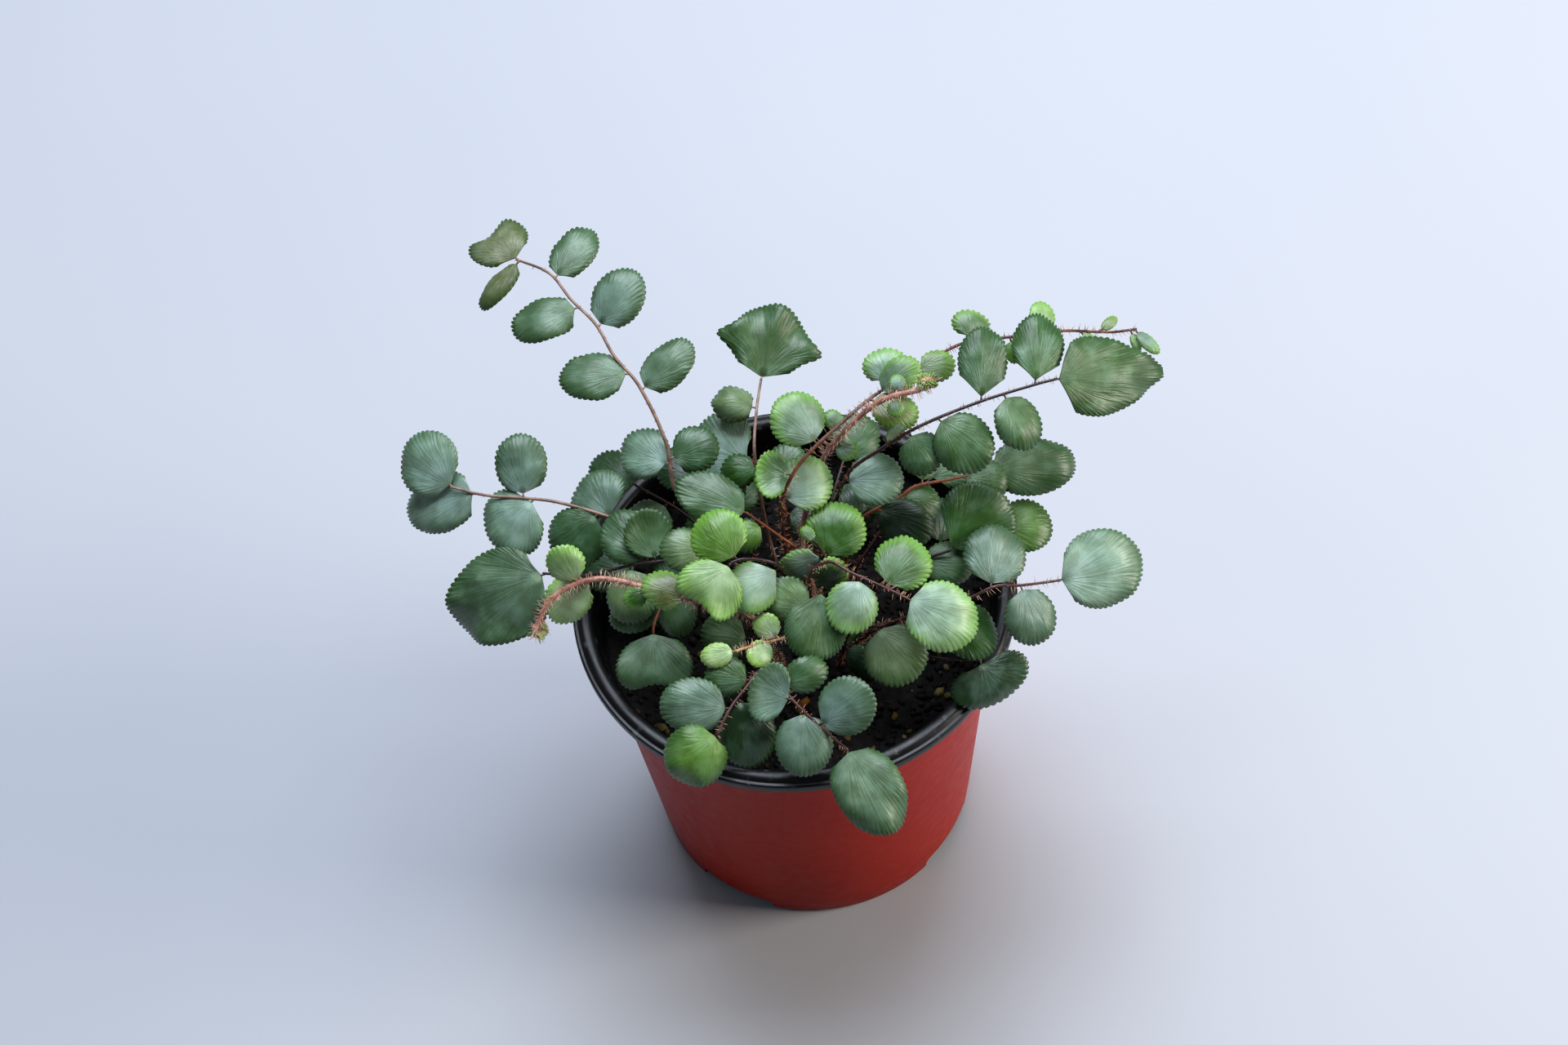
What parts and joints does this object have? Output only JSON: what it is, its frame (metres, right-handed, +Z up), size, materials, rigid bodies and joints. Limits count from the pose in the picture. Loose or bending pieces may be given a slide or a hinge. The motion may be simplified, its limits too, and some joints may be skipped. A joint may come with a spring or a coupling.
{
  "type": "potted plant",
  "caption": "Button fern in a thin nursery pot: arching wiry fronds carry round scalloped leaflets over dark soil in a tapering pot with a rolled lip and drain holes.",
  "frame": {"origin": "on the pot's axis, in the plane of its underside", "axes": "+Z up along the pot's axis, -Y towards the front of the plant, +X to the plant's right as seen from the front"},
  "size_m": [0.2058, 0.1769, 0.1642],
  "materials": {
    "pot_plastic": "terracotta red outside, black inside, satin",
    "peat": "dark moist peat with bark and fibre bits",
    "mature_frond": "satin blue-green leaflets on a dark brown midrib",
    "young_frond": "satin yellow-green leaflets on a reddish bristly midrib",
    "lime_frond": "pale lime young leaflets on a tan scaly midrib"
  },
  "bodies": {
    "root": {"pot": "pot_plastic", "soil": "peat", "frond_back_left_tall": "mature_frond", "frond_left_upper": "mature_frond", "frond_left_big": "mature_frond", "frond_left_crozier": "young_frond", "frond_centre_bright": "young_frond", "frond_centre_high": "mature_frond", "frond_centre_left": "mature_frond", "frond_front_left": "mature_frond", "frond_front_young": "lime_frond", "frond_front_low": "mature_frond", "frond_front_droop": "mature_frond", "frond_right_near": "young_frond", "frond_right_long": "mature_frond", "frond_right_low": "mature_frond", "frond_right_rim": "mature_frond", "frond_right_upper": "mature_frond", "frond_right_back": "mature_frond", "frond_right_thin": "young_frond", "frond_right_crozier": "young_frond", "frond_back_single": "mature_frond", "frond_back_middle": "mature_frond", "frond_centre_upright": "young_frond", "frond_centre_fan": "mature_frond", "frond_right_middle": "mature_frond", "frond_right_behind": "mature_frond", "frond_left_dark": "mature_frond", "frond_front_dark": "mature_frond", "frond_back_right_low": "mature_frond", "frond_back_left_low": "mature_frond", "frond_right_back_low": "mature_frond", "frond_left_low": "mature_frond"}
  },
  "joints": []
}
